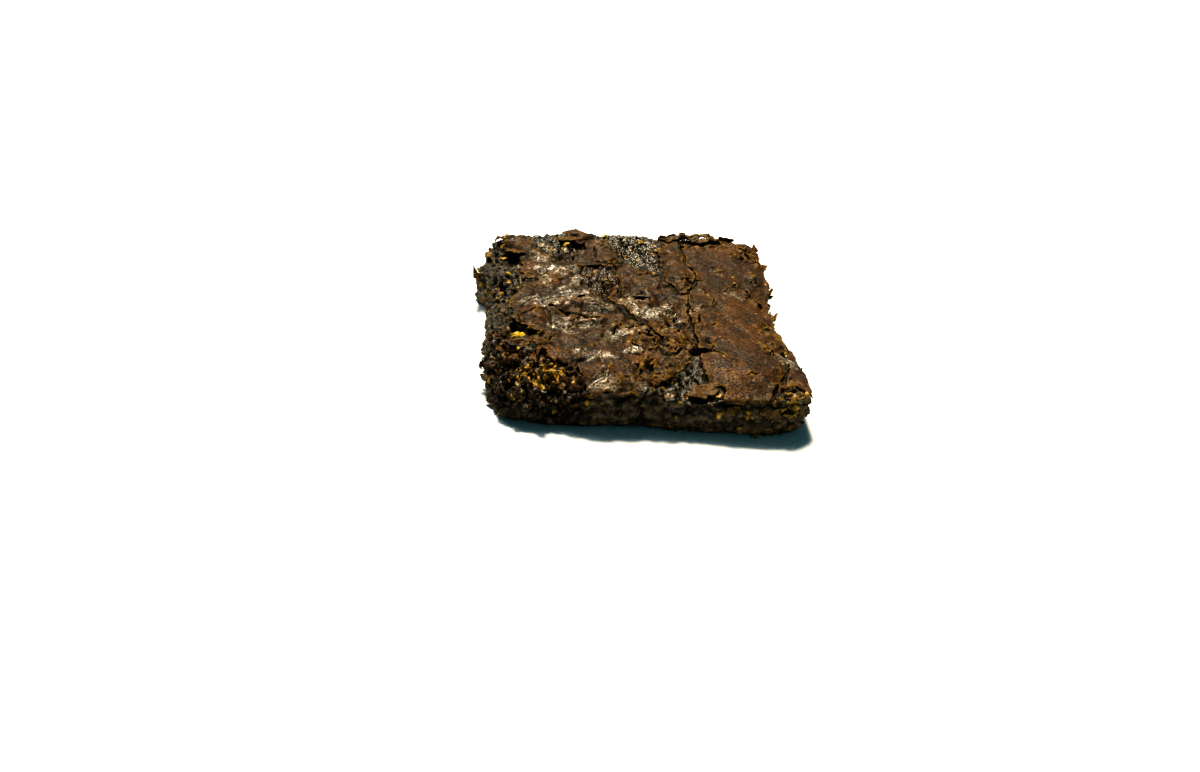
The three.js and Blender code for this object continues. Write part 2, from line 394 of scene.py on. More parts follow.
def newMaterial(name):
    material = bpy.data.materials.new(name)
    material.use_nodes = True
    tree = material.node_tree
    tree.nodes.clear()
    coordinates = addNode(tree, "ShaderNodeTexCoord")
    # Object coordinates in mm
    links = {"Vector": coordinates.outputs["Object"]}
    mapping = addNode(tree, "ShaderNodeMapping", {"Scale": [1 / toMetres] * 3}, links)
    return material, tree, mapping.outputs["Vector"]


def noiseIn(tree, place, size, detail=3, roughness=0.55, distortion=0.0):
    values = {"Scale": 1 / size, "Detail": detail, "Roughness": roughness, "Distortion": distortion}
    return addNode(tree, "ShaderNodeTexNoise", values, {"Vector": place}).outputs["Fac"]


def rampIn(tree, source, low, high, fromValue=0.0, toValue=1.0):
    values = {"From Min": low, "From Max": high, "To Min": fromValue, "To Max": toValue}
    return addNode(tree, "ShaderNodeMapRange", values, {"Value": source}, clamp=True).outputs["Result"]


def mathIn(tree, operation, first, second):
    values, links = {}, {}
    for socket, source in enumerate((first, second)):
        if isinstance(source, (int, float)):
            values[socket] = source
        else:
            links[socket] = source
    return addNode(tree, "ShaderNodeMath", values, links, operation=operation).outputs[0]


def timesIn(tree, first, second):
    return mathIn(tree, "MULTIPLY", first, second)


def mixIn(tree, share, first, second):
    node = addNode(tree, "ShaderNodeMix", data_type="RGBA")
    for socket, source in (("Factor", share), ("A", first), ("B", second)):
        index = {"Factor": 0, "A": 6, "B": 7}[socket]
        if isinstance(source, str):
            node.inputs[index].default_value = linear(source)
        elif isinstance(source, (int, float)):
            node.inputs[index].default_value = source
        else:
            tree.links.new(source, node.inputs[index])
    return node.outputs[2]


def bumpIn(tree, height, strength, distanceMm, normal=None):
    links = {"Height": height}
    if normal:
        links["Normal"] = normal
    values = {"Strength": strength, "Distance": distanceMm * toMetres}
    return addNode(tree, "ShaderNodeBump", values, links).outputs["Normal"]


def attributeIn(tree, name):
    return addNode(tree, "ShaderNodeAttribute", attribute_name=name, attribute_type="GEOMETRY").outputs["Fac"]


def finishMaterial(tree, values, links):
    shader = addNode(tree, "ShaderNodeBsdfPrincipled", values, links)
    addNode(tree, "ShaderNodeOutputMaterial", links={"Surface": shader.outputs["BSDF"]})


def finishCoated(tree, values, colour, roughness, normal, coat, coatRoughness):
    # with a thin shiny coat, where the surface is wet or papery
    links = {"Base Color": colour, "Roughness": roughness, "Normal": normal, "Coat Normal": normal}
    links["Coat Weight"] = coat
    finishMaterial(tree, {**values, "Coat Roughness": coatRoughness}, links)


# the palest of these colours is a painted sheen, mixed in where the crust shines
crustFinish = {
    "dark": "#0E0803", "brown": "#44290B", "orange": "#82540E", "olive": "#1C1707", "shineAndPaintedSheen": "#BCB4A2",
    "edge": "#7C5E14", "speck": "#B98A1A", "toneMm": 7, "mottleMm": 1.3, "wrinkleMm": 2.2,
    "grainMm": 0.46, "speckMm": 2.6,
}


def bakedCrust():
    # the dried sugar skin of a brownie: leathery and matte, and papery and shiny where it blistered; a pale
    # painted sheen is mixed into its colour on the shiny patches and blister tops, and painted shade darkens
    # the hollows between blisters
    material, tree, place = newMaterial("bakedCrust")
    finish = crustFinish
    tone = noiseIn(tree, place, finish["toneMm"], 5, 0.6)
    mottle = noiseIn(tree, place, finish["mottleMm"], 5, 0.7)
    grain = noiseIn(tree, place, finish["grainMm"], 3, 0.6)
    colour = mixIn(tree, rampIn(tree, tone, 0.38, 0.58), finish["dark"], finish["brown"])
    blotch = noiseIn(tree, place, 0.6 * finish["toneMm"], 6, 0.65, 0.6)
    colour = mixIn(tree, rampIn(tree, blotch, 0.56, 0.66, 0, 0.75), colour, finish["olive"])
    finePart, coarsePart = timesIn(tree, grain, 0.45), timesIn(tree, mottle, 0.55)
    freckle = rampIn(tree, mathIn(tree, "ADD", finePart, coarsePart), 0.47, 0.6)
    amber = timesIn(tree, freckle, rampIn(tree, blotch, 0.35, 0.55, 0.95, 0.3))
    left = attributeIn(tree, "left")
    amber = timesIn(tree, amber, rampIn(tree, left, 0, 1, 0.72, 1))
    colour = mixIn(tree, amber, colour, finish["orange"])
    colour = mixIn(tree, rampIn(tree, grain, 0.48, 0.38, 0, 0.8), colour, finish["dark"])
    # painted shade: darker in the hollows between blisters on the left half, and in the darker patches
    darkPatchesAndValleyShade = timesIn(tree, attributeIn(tree, "darkPatchesAndValleyShade"), rampIn(tree, mottle, 0.35, 0.55, 1, 0.6))
    colour = mixIn(tree, darkPatchesAndValleyShade, colour, finish["dark"])
    # painted sheen: a pale colour mixed in on the shiny patches and the tops of the blisters, where the crust
    # is also less rough
    shineAndPaintedSheen = timesIn(tree, attributeIn(tree, "shineAndPaintedSheen"), rampIn(tree, mottle, 0.42, 0.58, 0.15, 1))
    paintedSheen = timesIn(tree, shineAndPaintedSheen, rampIn(tree, grain, 0.46, 0.54, 0.0, 0.75))
    colour = mixIn(tree, paintedSheen, colour, finish["shineAndPaintedSheen"])
    edge = timesIn(tree, attributeIn(tree, "edge"), rampIn(tree, mottle, 0.38, 0.58, 0.1, 1))
    colour = mixIn(tree, edge, colour, finish["edge"])
    speckle = addNode(tree, "ShaderNodeTexVoronoi", {"Scale": 1 / finish["speckMm"]}, {"Vector": place})
    speck = rampIn(tree, speckle.outputs["Distance"], 0.08, 0.16, 1, 0)
    chosen = addNode(tree, "ShaderNodeSeparateColor", links={"Color": speckle.outputs["Color"]})
    speck = timesIn(tree, speck, rampIn(tree, chosen.outputs["Red"], 0.66, 0.7))
    colour = mixIn(tree, timesIn(tree, speck, 0.8), colour, finish["speck"])
    grainRoughness = rampIn(tree, grain, 0.38, 0.58, 0.25, -0.05)
    roughness = mathIn(tree, "ADD", rampIn(tree, shineAndPaintedSheen, 0, 1, 0.55, 0.17), grainRoughness)
    wrinkle = noiseIn(tree, place, finish["wrinkleMm"], 4, 0.55)
    normal = addNode(tree, "ShaderNodeBump", {"Distance": 0.7 * toMetres},
                     {"Height": wrinkle, "Strength": rampIn(tree, left, 0, 1, 0.3, 0.42)}).outputs["Normal"]
    normal = bumpIn(tree, grain, 0.8, 0.15, normal)
    normal = bumpIn(tree, speck, 0.6, 0.2, normal)
    values = {"IOR": 1.5, "Specular IOR Level": 0.3, "Specular Tint": linear("#FFF8EA")}
    finishCoated(tree, values, colour, roughness, normal, timesIn(tree, shineAndPaintedSheen, 0.6), 0.2)
    return material


# the strip colour is the crumb's darker olive, and on the torn left side and corner it also stands for
# painted shade
crumbFinish = {
    "deep": "#090602", "moist": "#241B09", "strip": "#181105", "wallDark": "#140F08", "wall": "#6C604E",
    "rim": "#86682E", "scarDark": "#0E0603", "scar": "#43200A", "golden": "#B88E1E", "amber": "#6E4A10",
    "brown": "#4A2E0C", "granuleMm": 0.9, "mottleMm": 1.4, "fineMm": 0.35, "wallMm": 1.6,
}


def moistCrumb():
    # undercooked chewy crumb: near black and wet in the open, with grains of nut, browner and dry where cut
    material, tree, place = newMaterial("moistCrumb")
    finish = crumbFinish
    granule = addNode(tree, "ShaderNodeTexVoronoi", {"Scale": 1 / finish["granuleMm"]}, {"Vector": place})
    pick = addNode(tree, "ShaderNodeSeparateColor", links={"Color": granule.outputs["Color"]})
    mottle = noiseIn(tree, place, finish["mottleMm"], 5, 0.65)
    fine = noiseIn(tree, place, finish["fineMm"], 4, 0.65)
    colour = mixIn(tree, rampIn(tree, mottle, 0.42, 0.6), finish["deep"], finish["moist"])
    # painted shade on the torn left side and corner, where the crumb is coloured darker; on the front patch
    # the same darker olive is its own colour
    strip = timesIn(tree, attributeIn(tree, "strip"), rampIn(tree, mottle, 0.46, 0.58))
    colour = mixIn(tree, strip, colour, finish["strip"])
    scarTone = mixIn(tree, rampIn(tree, mottle, 0.44, 0.58), finish["scarDark"], finish["scar"])
    colour = mixIn(tree, attributeIn(tree, "scar"), colour, scarTone)
    broken = timesIn(tree, attributeIn(tree, "broken"), rampIn(tree, mottle, 0.42, 0.58))
    colour = mixIn(tree, broken, colour, finish["brown"])
    wall = attributeIn(tree, "wall")
    wallMottle = noiseIn(tree, place, finish["wallMm"], 6, 0.7)
    wallTone = mixIn(tree, rampIn(tree, wallMottle, 0.42, 0.6), finish["wallDark"], finish["wall"])
    colour = mixIn(tree, wall, colour, wallTone)
    rim = timesIn(tree, attributeIn(tree, "rim"), rampIn(tree, wallMottle, 0.47, 0.56))
    colour = mixIn(tree, rim, colour, finish["rim"])
    golden = attributeIn(tree, "golden")
    chance = mathIn(tree, "ADD", pick.outputs["Red"], golden)
    amber = mathIn(tree, "ADD", pick.outputs["Green"], timesIn(tree, golden, 1.6))
    colour = mixIn(tree, rampIn(tree, amber, 0.96, 1.0, 0, 0.8), colour, finish["amber"])
    colour = mixIn(tree, rampIn(tree, chance, 0.97, 1.0), colour, finish["golden"])
    # painted shade: near black in hollows, under the crust's edge and in the wall's recesses
    colour = mixIn(tree, timesIn(tree, attributeIn(tree, "paintedHollowShade"), 0.92), colour, finish["deep"])
    wet = attributeIn(tree, "wet")
    mottleRoughness = rampIn(tree, mottle, 0.4, 0.7, 0, 0.12)
    roughness = mathIn(tree, "ADD", rampIn(tree, wet, 0, 1, 0.62, 0.3), mottleRoughness)
    normal = bumpIn(tree, mottle, 0.7, 0.5)
    normal = bumpIn(tree, fine, 0.35, 0.18, normal)
    values = {"IOR": 1.5, "Specular IOR Level": 0.34, "Specular Tint": linear("#FFF4DC")}
    finishCoated(tree, values, colour, roughness, normal, timesIn(tree, wet, 0.5), 0.11)
    return material


goldenFinish = {"dark": "#2A1E08", "amber": "#80640F", "light": "#BC9A1A", "toneMm": 2.4, "grainMm": 0.5}


def goldenCrumb():
    # bits of nut and toffee: amber and waxy in the cake, and bright yellow where they broke open
    material, tree, place = newMaterial("goldenNutBits")
    finish = goldenFinish
    tone = noiseIn(tree, place, finish["toneMm"], 4)
    colour = mixIn(tree, rampIn(tree, tone, 0.34, 0.52), finish["dark"], finish["amber"])
    fresh = mathIn(tree, "MAXIMUM", rampIn(tree, tone, 0.58, 0.66), attributeIn(tree, "fresh"))
    colour = mixIn(tree, fresh, colour, finish["light"])
    normal = bumpIn(tree, noiseIn(tree, place, finish["grainMm"], 3), 0.6, 0.2)
    finishMaterial(tree, {"IOR": 1.46, "Roughness": 0.46}, {"Base Color": colour, "Normal": normal})
    return material


looseFinish = {"dark": "#0F0A04", "brown": "#463310", "toneMm": 2.2, "grainMm": 0.4}


def darkCrumb():
    # loose crumbs of the same cake, brown and half dry
    material, tree, place = newMaterial("looseCrumb")
    finish = looseFinish
    tone = noiseIn(tree, place, finish["toneMm"], 4)
    colour = mixIn(tree, rampIn(tree, tone, 0.38, 0.62), finish["dark"], finish["brown"])
    normal = bumpIn(tree, noiseIn(tree, place, finish["grainMm"], 3), 0.7, 0.2)
    finishMaterial(tree, {"IOR": 1.45, "Roughness": 0.34}, {"Base Color": colour, "Normal": normal})
    return material


boardFinish = {"white": "#ECF4F8", "whiter": "#F2F8FC", "toneMm": 60}


def whiteSurface():
    # a matte white board, a little blue, that shows the shadow and nothing else
    material, tree, place = newMaterial("whitePaintedBoard")
    finish = boardFinish
    tone = noiseIn(tree, place, finish["toneMm"], 3)
    colour = mixIn(tree, rampIn(tree, tone, 0.3, 0.7), finish["white"], finish["whiter"])
    finishMaterial(tree, {"Roughness": 0.7}, {"Base Color": colour})
    return material


crustMaterial = bakedCrust()
crumbMaterial = moistCrumb()
goldenMaterial = goldenCrumb()
looseMaterial = darkCrumb()
print("materials made")

# The base form: the frame's own solid with its top smoothed, so that crust and crumb get their own relief
baseForm = {"smoothing": 8, "levels": 2, "topHeight": 5, "topSlope": 0.35}


def smoothedBase():
    shape = bmesh.new()
    shape.from_mesh(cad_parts["brownie"].data)
    bmesh.ops.remove_doubles(shape, verts=shape.verts, dist=1e-6)
    bmesh.ops.join_triangles(shape, faces=shape.faces, angle_face_threshold=3.1, angle_shape_threshold=3.1)
    lowest = baseForm["topHeight"] * toMetres
    top = [v for v in shape.verts
           if v.co.z > lowest and all(f.normal.z > baseForm["topSlope"] for f in v.link_faces)]
    upOnly = {"use_axis_x": False, "use_axis_y": False, "use_axis_z": True}
    for _ in range(baseForm["smoothing"]):
        bmesh.ops.smooth_vert(shape, verts=top, factor=0.5, **upOnly)
    piece = newPiece("crumb", shape, crumbMaterial)
    finer = piece.modifiers.new("finer", "SUBSURF")
    finer.levels = finer.render_levels = baseForm["levels"]
    applyModifiers(piece)
    return piece


crumb = smoothedBase()
baseTree = treeOf(crumb.data)
print("base form made:", len(crumb.data.polygons), "faces")


def rimTable(directions=720, heights=(6.5, 7.5, 8.3, 8.9)):
    # how far the side reaches in each direction, in mm
    reach = []
    for step in range(directions):
        angle = 2 * math.pi * step / directions - math.pi
        way = Vector((math.cos(angle), math.sin(angle), 0))
        hits = [baseTree.ray_cast(way * beyond + Vector((0, 0, z)), -way)[0] for z in heights]
        reach.append(max(hit.to_2d().length for hit in hits if hit))
    return np.array(reach)


rimReach = rimTable()


def reachToward(points):
    # the same for each point's own direction
    angle = np.arctan2(points[:, 1], points[:, 0])
    place = (angle + math.pi) / (2 * math.pi) * len(rimReach)
    return np.interp(place, np.arange(len(rimReach) + 1), np.append(rimReach, rimReach[0]))


crust = {
    "cell": 0.215, "thickness": 0.35, "overhang": 0.25, "droop": 0.9, "inset": 0.9, "edgeLift": 0.6,
    "edgeReach": 0.9, "shatterMm": 3.0, "plateMm": 9.5, "facetMm": 4.4, "facetTilt": 0.55, "crease": 0.16,
    "creaseMm": 0.28, "quiltMm": 7.8, "quilt": 2.0, "layerMm": 5.0, "layerStep": 0.35,
    "plainTop": 9.0, "rimTear": 0.8, "rimTearMm": 2.6, "shatterGap": 0.12, "plateGap": 0.2,
}


def crustDepth(points):
    # mm inward from the nearest edge of the crust
    depth = np.minimum(-bareDepth(points), crackDistance(points))
    radius = np.hypot(points[:, 0], points[:, 1])
    tear = crust["rimTear"] * np.abs(waves(points, crust["rimTearMm"], 91, 3))
    depth = np.minimum(depth, reachToward(points) + crust["overhang"] - radius - tear)
    torn = ragged(points, 0.5, 0.4)
    near, second = cells(torn, crust["shatterMm"], 5)[:2]
    zone = nearZones(points, shatterZones)
    depth = np.minimum(depth, (second - near) / 2 - crust["shatterGap"] + 3 * (1 - ramp(zone, 0.35, 0.7)))
    near, second = cells(torn, crust["plateMm"], 21)[:2]
    opened = ramp(waves(points, 7, 33), 0.05, 0.4)
    gap = crust["plateGap"] * opened
    return np.minimum(depth, (second - near) / 2 - gap + 3 * (1 - ramp(opened, 0.05, 0.3)))


def baseHeight(points):
    # height of the base form; points past its rim take the height just inside it
    radius = np.hypot(points[:, 0], points[:, 1])
    limit = reachToward(points) - crust["inset"]
    share = np.minimum(1, limit / np.maximum(radius, 1e-6))
    heights = []
    for x, y in points * share[:, None]:
        hit = baseTree.ray_cast(Vector((x, y, above)), down)[0]
        heights.append(hit.z if hit else crust["plainTop"])
    past = np.maximum(0, radius - limit)
    return np.array(heights) - crust["droop"] * (past / (crust["inset"] + crust["overhang"])) ** 2


def crustLayer(points):
    # above 0 where one more thin layer of the crust is left
    return waves(ragged(points, 0.8, 0.6), crust["layerMm"], 87, 2) - 0.12


def bulges(points):
    # soft blisters in the crust: 0 in the creases between them, about 1 on the highest
    return np.abs(waves(ragged(points, 0.6, 0), crust["quiltMm"], 61)) + 0.2 * waves(points, 3.4, 63)


def crustHeight(points, depth):
    # height of the crust's top: curled edges, lifted plates, tilted flakes, and blisters on its left half
    lift = crust["edgeLift"] * np.clip(0.5 + 1.6 * waves(points, 4, 55, 2), -0.5, 2.2)
    height = baseHeight(points) + lift * np.exp(-np.maximum(depth, 0) / crust["edgeReach"])
    inRim = ramp(reachToward(points) - np.hypot(points[:, 0], points[:, 1]), 0.3, 3)
    for outline, rise in liftedPlates.values():
        height += rise * inRim * ramp(depthInside(points, outline), -0.5, 3)
    zone = nearZones(points, shatterZones)
    torn = ragged(points, 0.5, 0.4)
    near, _, away, owner = cells(torn, crust["shatterMm"], 5)
    tilt = np.sum((owner[:, :2] - 0.5) * away, axis=1)
    height += zone * (0.9 * (owner[:, 2] - 0.4) + 0.45 * tilt)
    left = ramp(-points[:, 0], -13, -8)
    crumple, seam = facets(ragged(points, 0.8, 0.2), crust["facetMm"], 71)
    crumple = crust["facetTilt"] * crumple - crust["crease"] * np.exp(-(seam / crust["creaseMm"]) ** 2)
    height += (0.25 + 0.75 * left) * crumple
    height += (0.2 + 0.8 * left) * crust["quilt"] * (bulges(points) - 0.3)
    height += crust["layerStep"] * nearZones(points, flakyZones) * ramp(crustLayer(points), -0.03, 0.03)
    return height + 0.05 * waves(points, 1.0, 65, 2)


def towardEdge(points, depth):
    # each point moved on to the crust's edge, by no more than most of a cell; step is the probe for the slope
    step = 0.08
    slopeX = (crustDepth(points + (step, 0)) - depth) / step
    slopeY = (crustDepth(points + (0, step)) - depth) / step
    slope = np.column_stack((slopeX, slopeY))
    steepness = np.maximum(np.sum(slope ** 2, axis=1), 0.3)
    move = -(depth / steepness)[:, None] * slope
    length = np.linalg.norm(move, axis=1)
    limit = 0.7 * crust["cell"]
    return points + move * np.minimum(1, limit / np.maximum(length, 1e-6))[:, None]


def crustPiece(name, side):
    # a grid over the box, cut away where there is no crust, its border drawn on to the torn edge.
    # The material reads its attributes: edge; the shine and painted sheen of the shiny patches; the darker
    # patches and the painted shade between blisters; and left, the rougher left half.
    shape = bmesh.new()
    across, along = ((cadBox[1][axis] - cadBox[0][axis]) / toMetres for axis in (0, 1))
    columns, rows = int(across / crust["cell"]), int(along / crust["cell"])
    bmesh.ops.create_grid(shape, x_segments=columns, y_segments=rows, size=0.5)
    bmesh.ops.scale(shape, vec=(across, along, 1), verts=shape.verts)
    places = np.array([v.co.xy for v in shape.verts])
    torn = ragged(places, 0.5, 0.3)
    line = np.array(splitLine[::-1])
    outside = side * (torn[:, 0] - np.interp(torn[:, 1], line[:, 1], line[:, 0])) < 0
    outside[~outside] = crustDepth(places[~outside]) < -0.1
    bmesh.ops.delete(shape, geom=[v for v, out in zip(shape.verts, outside) if out], context="VERTS")
    bmesh.ops.delete(shape, geom=[v for v in shape.verts if not v.link_faces], context="VERTS")
    places = np.array([v.co.xy for v in shape.verts])
    depth = crustDepth(places)
    border = np.array([v.is_boundary for v in shape.verts]) & (depth < crust["cell"])
    places[border] = towardEdge(places[border], depth[border])
    depth = np.where(border, 0, depth)
    heights = crustHeight(places, depth)
    for vertex, place, height in zip(shape.verts, places, heights):
        vertex.co = Vector((place[0], place[1], height)) * toMetres
    piece = newPiece(name, shape, crustMaterial)
    edge = np.exp(-np.maximum(depth, 0) / 0.3) * ramp(waves(places, 3, 83, 2), -0.6, 0.4)
    ledge = np.exp(-((crustLayer(places) - 0.05) / 0.03) ** 2) * nearZones(places, flakyZones)
    edge = np.maximum(edge, 0.7 * ledge)
    left = ramp(-places[:, 0], -14, -6)
    blister = bulges(places)
    # where the crust shines and a pale painted sheen is mixed into its colour: the listed zones, and the
    # blister tops on the left half
    shineAndPaintedSheen = nearZones(ragged(places, 2.4, 0.8), shineAndPaintedSheenZones)
    behindFold = ramp(places[:, 1], -14, -5)
    bulgeTopSheen = left * (0.1 + 0.45 * behindFold) * ramp(blister, 0.4, 0.75)
    shineAndPaintedSheen = np.maximum(shineAndPaintedSheen, bulgeTopSheen)
    # darker patches, and painted shade in the hollows between blisters on the left half
    darkPatchesAndValleyShade = np.maximum(0.6 * nearZones(places, darkZones), 0.9 * left * ramp(-blister, -0.34, -0.05))
    addAttributes(piece.data, {"edge": edge, "shineAndPaintedSheen": shineAndPaintedSheen, "darkPatchesAndValleyShade": darkPatchesAndValleyShade, "left": left})
    thicken(piece, crust["thickness"])
    ridesOnRoot(piece, standsForBrownie=True)
    return piece


crustPieces = [crustPiece("crustLeft", -1), crustPiece("crustRight", 1)]
print("crust made:", [len(piece.data.polygons) for piece in crustPieces], "faces")

crumbForm = {
    "underCrust": 1.5, "granuleMm": 1.3, "granule": 0.5, "bubbleMm": 2.6, "bubble": 0.9, "roughMm": 2.4,
    "rough": 0.45, "lumpMm": 2.9, "lump": 2.0, "chunkMm": 1.2, "chunk": 0.9, "fine": 0.12, "poreMm": 1.5,
    "pore": 0.6, "wallWave": 0.7, "blockMm": 3.2, "recess": 1.2, "wallIn": 0.25, "rimTop": 2.2,
    "recessAt": 8.4, "recessHeight": 1.1, "splitAt": -1,
}


def brokenUp(points, size, seed):
    # chunks of about that size, each standing at its own height with gaps between them
    near, second, _, owner = cells(points, size, seed)
    return 0.8 * (owner[:, 0] - 0.5) + 0.5 * ramp(second - near, 0, 0.3 * size) - 0.4


def shapeCrumb():
    # The base form gets its relief: granules and bubbles on the bare patches, lumps in the torn corner,
    # a dip under the crust, and walls with blocks, pores and a line of crumbs at the foot.
    form = crumbForm
    points = pointsOf(crumb.data)
    normals = normalsOf(crumb.data)
    flat = points[:, :2]
    top = ramp(normals[:, 2], 0.3, 0.75) * (points[:, 2] > 4)
    side = (1 - top) * ramp(normals[:, 2], -0.8, -0.5)
    bare = ramp(-crustDepth(flat), -0.5, 0.3)
    corner = tornShare(flat) * ramp(-flat[:, 1], 14, 20)
    inPatch = ramp(bareDepth(flat), 0.2, 1.4) * top
    granule = 1 - cells(points, form["granuleMm"], 8)[0] / (0.6 * form["granuleMm"])
    near, _, _, owner = cells(ragged(flat, 0.3, 0.2), form["bubbleMm"], 19)
    bubble = (owner[:, 0] > 0.5) * np.maximum(0, 1 - (near / (0.2 + 0.9 * owner[:, 1])) ** 2)
    lump = brokenUp(points + 0.5 * waves(points, 1.6, 7)[:, None], form["lumpMm"], 9)
    chunk = brokenUp(points, form["chunkMm"], 39)
    fine = waves(points, 0.8, 13, 2)
    band = insidePatch(flat, "front") * top
    strip = tornShare(flat) * top
    crumbs = (1 + 0.6 * strip) * form["granule"] * granule
    crumbs += form["rough"] * waves(points, form["roughMm"], 29, 2)
    crumbs -= form["bubble"] * (1 - 0.9 * band) * bubble
    push = top * bare * (crumbs + form["fine"] * fine - 0.1)
    lumps = form["lump"] * lump + form["chunk"] * chunk
    push += corner * (top * bare + side) * lumps
    scar = insidePatch(flat, "scar") * top
    push += scar * (form["chunk"] * chunk - 0.6 * form["granule"] * granule - 0.3)
    push -= top * (1 - bare) * form["underCrust"]
    for x, y, radius, depth in pits:
        away = np.hypot(flat[:, 0] - x, flat[:, 1] - y) / radius
        push -= top * depth * np.exp(-away ** 4)
    # painted shade: the crumb is coloured near black in the gaps between granules and lumps, and just under
    # the crust's edge
    paintedHollowShade = ramp(-(top * bare * crumbs + corner * lumps + scar * form["chunk"] * chunk), -0.15, 0.35)
    paintedHollowShade = np.maximum(paintedHollowShade, top * (1 - ramp(bareDepth(flat), 0, 0.7)))
    pore = 1 - ramp(cells(points * (0.7, 0.7, 1.3), form["poreMm"], 15)[0], 0.1, 0.5)
    layered = waves(points * (0.8, 0.8, 1.6), 3.0, 17, 3)
    layered += brokenUp(points * (0.8, 0.8, 1.2), form["blockMm"], 49)
    wall = form["wallWave"] * layered - form["pore"] * pore + 0.3 * waves(points, 0.9, 27, 2) - form["wallIn"]
    recess = form["recess"] * np.clip(0.6 + 1.1 * waves(points, 7, 53), 0, 1.4)
    wall -= recess * np.exp(-((points[:, 2] - form["recessAt"]) / form["recessHeight"]) ** 2)
    split = np.exp(-((flat[:, 0] - form["splitAt"] + 0.9 * waves(points, 3, 47)) / 0.5) ** 2)
    split *= flat[:, 1] < -25
    wall -= 0.9 * split
    lowRim = 1 - ramp(points[:, 2], 0.5 * form["rimTop"], form["rimTop"])
    wall += lowRim * (0.7 * granule + 0.1)
    push += side * (1 - 0.6 * corner) * wall
    # painted shade in the wall's pores, the recess under the crust and the split
    paintedHollowShade = np.maximum(paintedHollowShade, side * np.maximum(ramp(-wall, 0.3, 0.9), 0.8 * split))
    moved = points + normals * push[:, None]
    moved[:, 2] = np.where(normals[:, 2] < -0.5, points[:, 2], np.maximum(moved[:, 2], 0))
    setPoints(crumb.data, moved)
    high = corner * ramp(points[:, 2], 4, 8)
    nutty = high * nearZones(ragged(flat, 1.2, 0.6), nuttyZones)
    golden = 0.02 * top * (1 - strip) + 0.03 * high + 0.35 * nutty
    wet = inPatch * (1 - 0.5 * corner) * (1 - 0.7 * strip) * (1 - 0.5 * scar) * (1 - 0.1 * band)
    # strip marks the darker colour: painted shade on the torn left side and corner, and the front patch's own
    # darker olive
    # the near-black attribute is painted shade in hollows and recesses
    addAttributes(crumb.data, {
        "wall": side * (1 - 0.5 * corner), "rim": lowRim * side, "wet": wet, "scar": scar, "golden": golden,
        "paintedHollowShade": paintedHollowShade, "strip": np.maximum(strip, 0.8 * band), "broken": corner * ramp(points[:, 2], 3, 8),
    })
    smoothShade(crumb)
    ridesOnRoot(crumb, standsForBrownie=True)


shapeCrumb()
surfaceTree = treeOf(crumb.data)
print("crumb shaped")

# Loose bits, each kind one piece: x, y, z, radius of the place, number, smallest and largest size;
# and single lumps of nut: x, y, length, width, how yellow
goldenBits = [
    (-22, -30, 7, 5, 110, 0.4, 1.5), (-30, -24, 7, 6, 34, 0.4, 1.3), (-30, 8, 9, 7, 12, 0.3, 0.8),
    (-29, 22, 9, 5, 9, 0.3, 0.8), (-29, -4, 9, 5, 9, 0.3, 0.7), (3, 31, 10, 6, 9, 0.3, 0.8),
    (-14, 31, 10, 4, 10, 0.3, 0.9), (11, 33, 10, 3, 10, 0.3, 0.9), (-17, -34, 6, 5, 24, 0.4, 1.1),
    (8, -38, 3, 5, 8, 0.3, 0.8), (32, -36, 9, 4, 80, 0.5, 1.5), (18, -38, 0.5, 12, 60, 0.4, 1.1),
    (36, -22, 5, 6, 14, 0.3, 0.8), (35, 5, 3, 14, 16, 0.3, 0.7), (28, -38, 5, 4, 18, 0.3, 0.9),
]
nutLumps = [
    (-26.6, -10.3, 1.6, 0.6, 1), (-27, -15.6, 1.7, 1.0, 1), (-29, -14.7, 1.1, 0.7, 0.8),
    (-29.3, 22.2, 0.9, 0.8, 0.7), (-28.2, 12.1, 0.6, 0.5, 0.7), (-10.3, -25.8, 0.7, 0.4, 1),
    (-23.6, -32.8, 1.4, 1.1, 0.3), (-21.5, -33.8, 1.2, 1, 0), (-18.4, -30.4, 1.1, 0.9, 0),
    (-26.6, -27.3, 1.2, 0.9, 0.2), (-24.6, -28.4, 1, 0.8, 0.6), (-20.4, -31, 1.5, 1, 0.3),
    (-22.6, -30.2, 1.1, 0.8, 0), (-29.7, -22.8, 0.9, 0.7, 0.1), (-30.8, 3.8, 0.7, 0.6, 0.7),
    (-13.9, 28.2, 0.9, 0.7, 0.8), (-4.1, 34, 0.8, 0.6, 0.6), (4.6, 31.6, 0.8, 0.6, 0.4),
    (8.2, 26.5, 0.9, 0.6, 0.5),
]
looseBits = [
    (-24, -30, 7, 8, 300, 0.3, 1.4), (-31, -20, 7, 7, 130, 0.3, 1.3), (-30, 8, 9, 8, 150, 0.25, 0.8),
    (-29, 24, 9, 6, 100, 0.25, 0.8), (3, 28, 10, 7, 90, 0.25, 0.8), (-15, 28, 10, 6, 50, 0.25, 0.8),
    (-7, 9, 10, 4, 60, 0.3, 0.9), (8, -33, 9, 6, 170, 0.25, 0.8), (-18, -35, 6, 6, 100, 0.3, 1.2),
    (33, -30, 6, 6, 90, 0.3, 1.3), (32, -36, 9, 3.5, 70, 0.4, 1.3), (15, -38, 1, 22, 150, 0.2, 0.7),
    (35, 5, 5, 22, 120, 0.3, 0.9),
]

